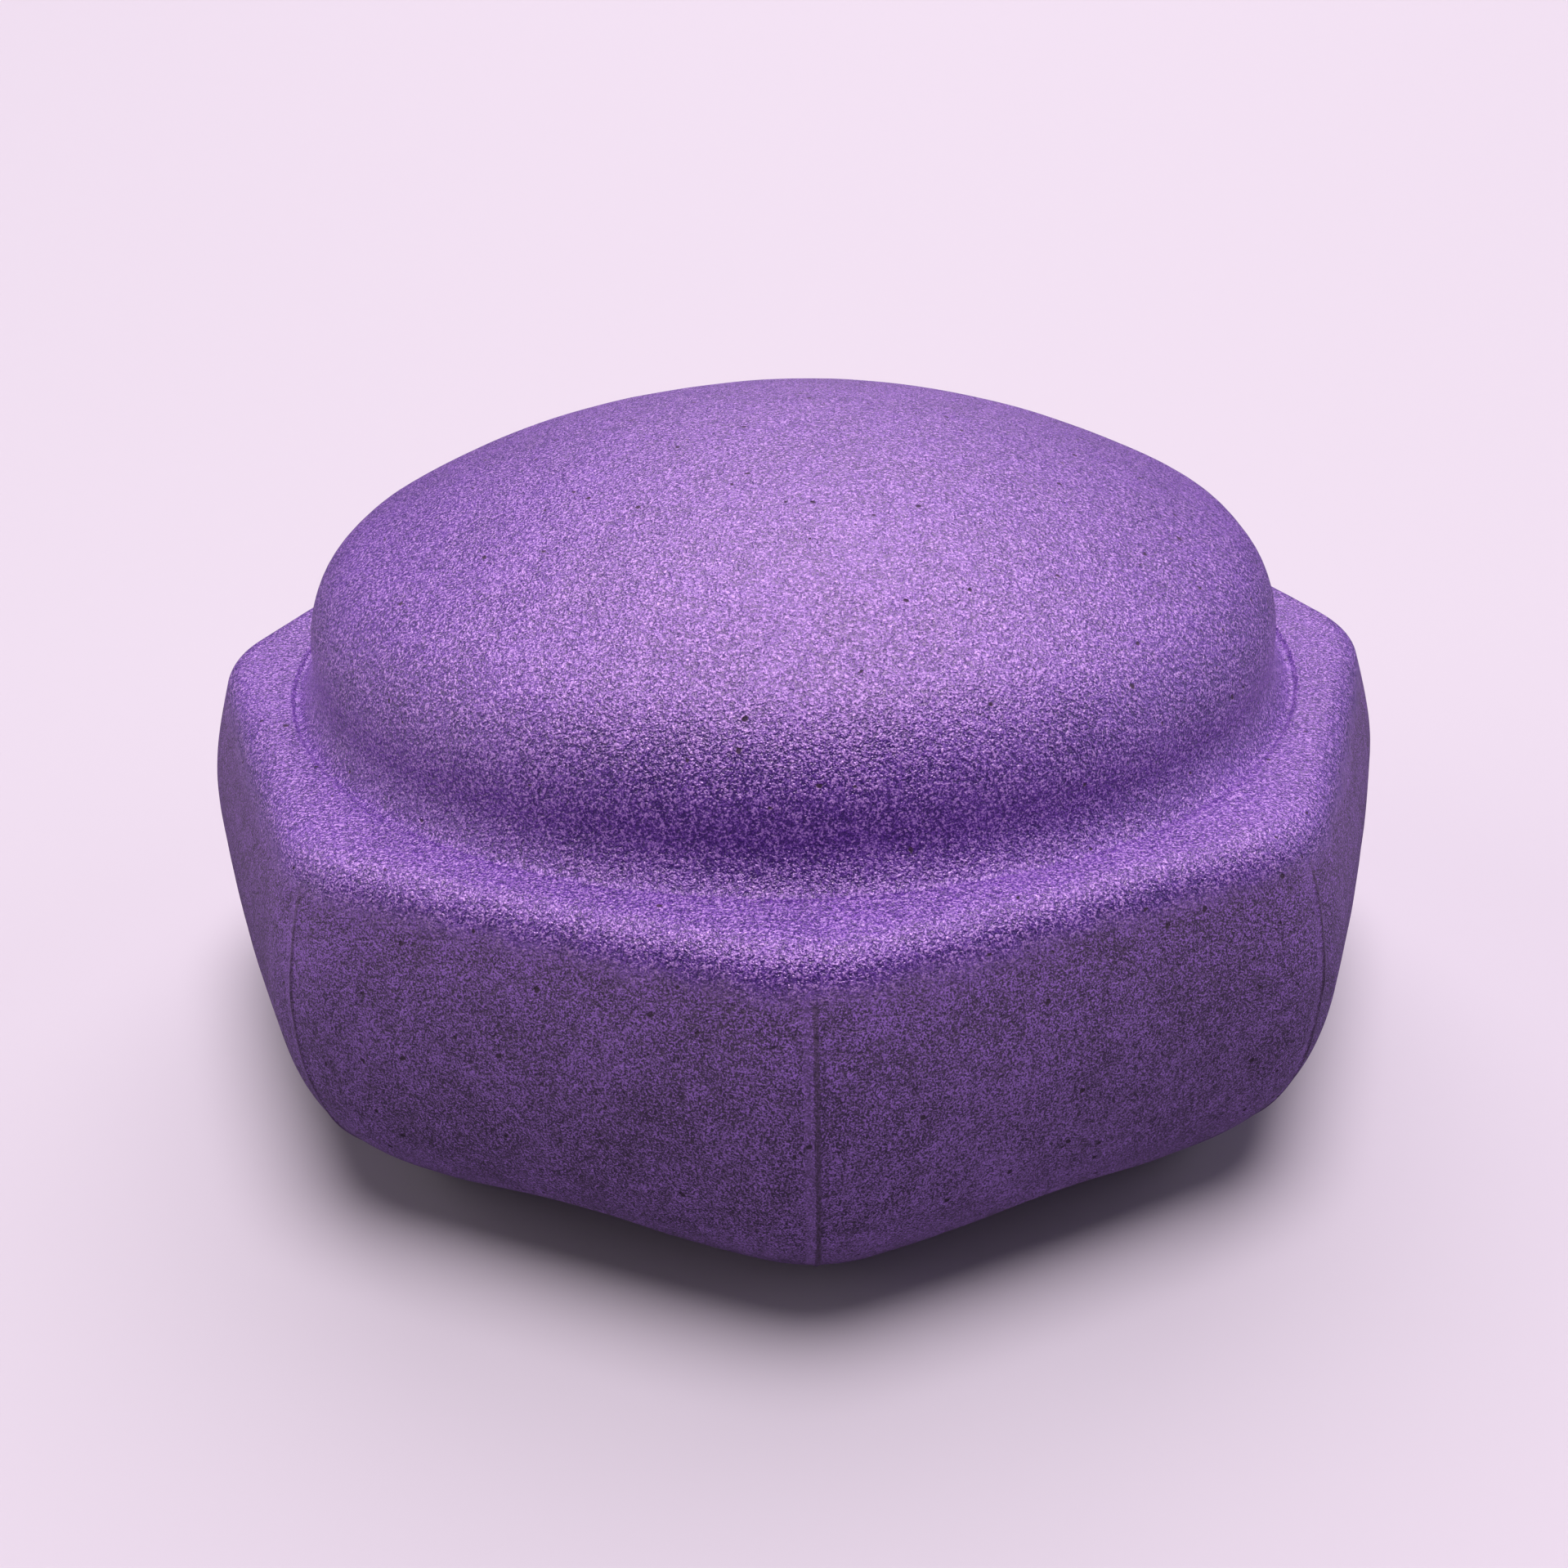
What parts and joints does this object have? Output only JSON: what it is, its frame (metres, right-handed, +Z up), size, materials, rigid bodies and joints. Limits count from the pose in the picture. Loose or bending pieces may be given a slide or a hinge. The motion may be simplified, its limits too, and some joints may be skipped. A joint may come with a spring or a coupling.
{
  "type": "stacking stepping stone",
  "caption": "Light foam stepping and balance stone with an eight-sided barrel body, a round dome to stand on and a hollow underside that nests on the next stone.",
  "frame": {"origin": "centre of the ring of feet, on the surface that the stone stands on", "axes": "+Z up along the dome's axis, a corner of the eight-sided body along -Y"},
  "size_m": [0.2532, 0.2532, 0.127],
  "materials": {
    "foam": "satin"
  },
  "bodies": {
    "root": {"foam_stone": "foam"}
  },
  "joints": []
}
